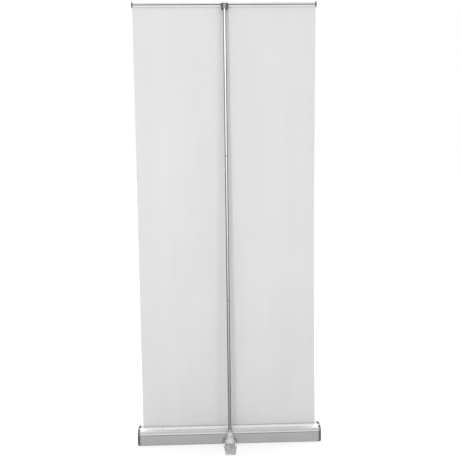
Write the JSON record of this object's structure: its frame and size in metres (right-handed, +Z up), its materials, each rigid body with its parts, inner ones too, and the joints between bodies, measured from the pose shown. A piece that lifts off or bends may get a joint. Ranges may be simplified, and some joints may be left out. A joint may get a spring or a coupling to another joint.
{
  "type": "roll-up banner stand",
  "caption": "Retractable banner stand: spring-roller cassette, plain banner sheet hooked to a leaning three-piece pole, with a folding rear foot.",
  "frame": {"origin": "on the floor, under the middle of the cassette", "axes": "+Z up; +X along the cassette, to the right as seen from behind; +Y the way the printed face looks, so the pole and the foot are on the -Y side"},
  "size_m": [0.9, 0.225, 2.1142],
  "materials": {
    "shell_aluminium": "satin anodised extrusion",
    "pole_aluminium": "bright drawn tube",
    "cap_plastic": "grey moulded plastic",
    "dark_plastic": "dark moulded plastic",
    "black_plastic": "black moulded plastic",
    "black_steel": "blackened screws",
    "steel": "plain steel",
    "cast_metal": "silver painted casting",
    "rubber": "matt black rubber",
    "felt": "dark felt strip",
    "banner_film": "unprinted grey back of the banner film",
    "cord": "braided elastic cord"
  },
  "bodies": {
    "base": {"cassette_shell": "shell_aluminium", "end_cap_left": "cap_plastic", "end_cap_right": "cap_plastic", "slot_felt_back": "felt", "slot_felt_front": "felt", "axle_pin": "steel", "spring_shaft": "steel", "spring_anchor": "dark_plastic", "pole_boot": "cast_metal", "boot_screw_left": "steel", "boot_screw_right": "steel", "cap_screw_left_top": "black_steel", "cap_screw_left_back": "black_steel", "cap_screw_left_front": "black_steel", "cap_screw_right_top": "black_steel", "cap_screw_right_back": "black_steel", "cap_screw_right_front": "black_steel"},
    "roller": {"roller_tube": "shell_aluminium", "leader_film": "banner_film", "roller_plug_left": "dark_plastic", "roller_plug_right": "dark_plastic", "torsion_spring": "steel"},
    "banner": {"banner_sheet": "banner_film"},
    "rail": {"top_rail": "shell_aluminium", "rail_wedge": "dark_plastic", "rail_cap_left": "cap_plastic", "rail_cap_right": "cap_plastic"},
    "pole": {"pole_lower": "pole_aluminium", "pole_middle": "pole_aluminium", "pole_upper": "pole_aluminium", "pole_ferrule_lower": "dark_plastic", "pole_ferrule_upper": "dark_plastic", "pole_foot_plug": "dark_plastic", "shock_cord": "cord", "pole_head": "dark_plastic", "hook_tongue": "steel", "hook_rivet": "steel"},
    "foot": {"foot_plate": "cast_metal", "foot_pad": "rubber", "hinge_pin": "steel", "hinge_knob_left": "black_plastic", "hinge_knob_right": "black_plastic"}
  },
  "joints": [
    {"name": "rail_lean", "type": "hinge", "parent": "base", "child": "banner", "pos_m": [0, 0, 0.0775], "axis": [-1, 0, 0], "range_deg": [0, 4]},
    {"name": "banner_slide", "type": "slide", "parent": "banner", "child": "rail", "axis": [0, 0, 1], "range_m": [-2.0115, 0], "deforming": ["banner_sheet"]},
    {"name": "roller_spin", "type": "hinge", "parent": "base", "child": "roller", "pos_m": [0, 0.01775, 0.036], "axis": [-1, 0, 0], "range_deg": [-6100, 0]},
    {"name": "pole_lift", "type": "slide", "parent": "base", "child": "pole", "axis": [0, 0.0191, 0.9998], "range_m": [0, 0.09]},
    {"name": "foot_fold", "type": "hinge", "parent": "base", "child": "foot", "pos_m": [0, -0.062, 0.0225], "axis": [-1, 0, 0], "range_deg": [0, 90]}
  ],
  "couplings": [
    {"joint": "roller_spin", "follows": "banner_slide", "rad_per_m": 52.356}
  ]
}
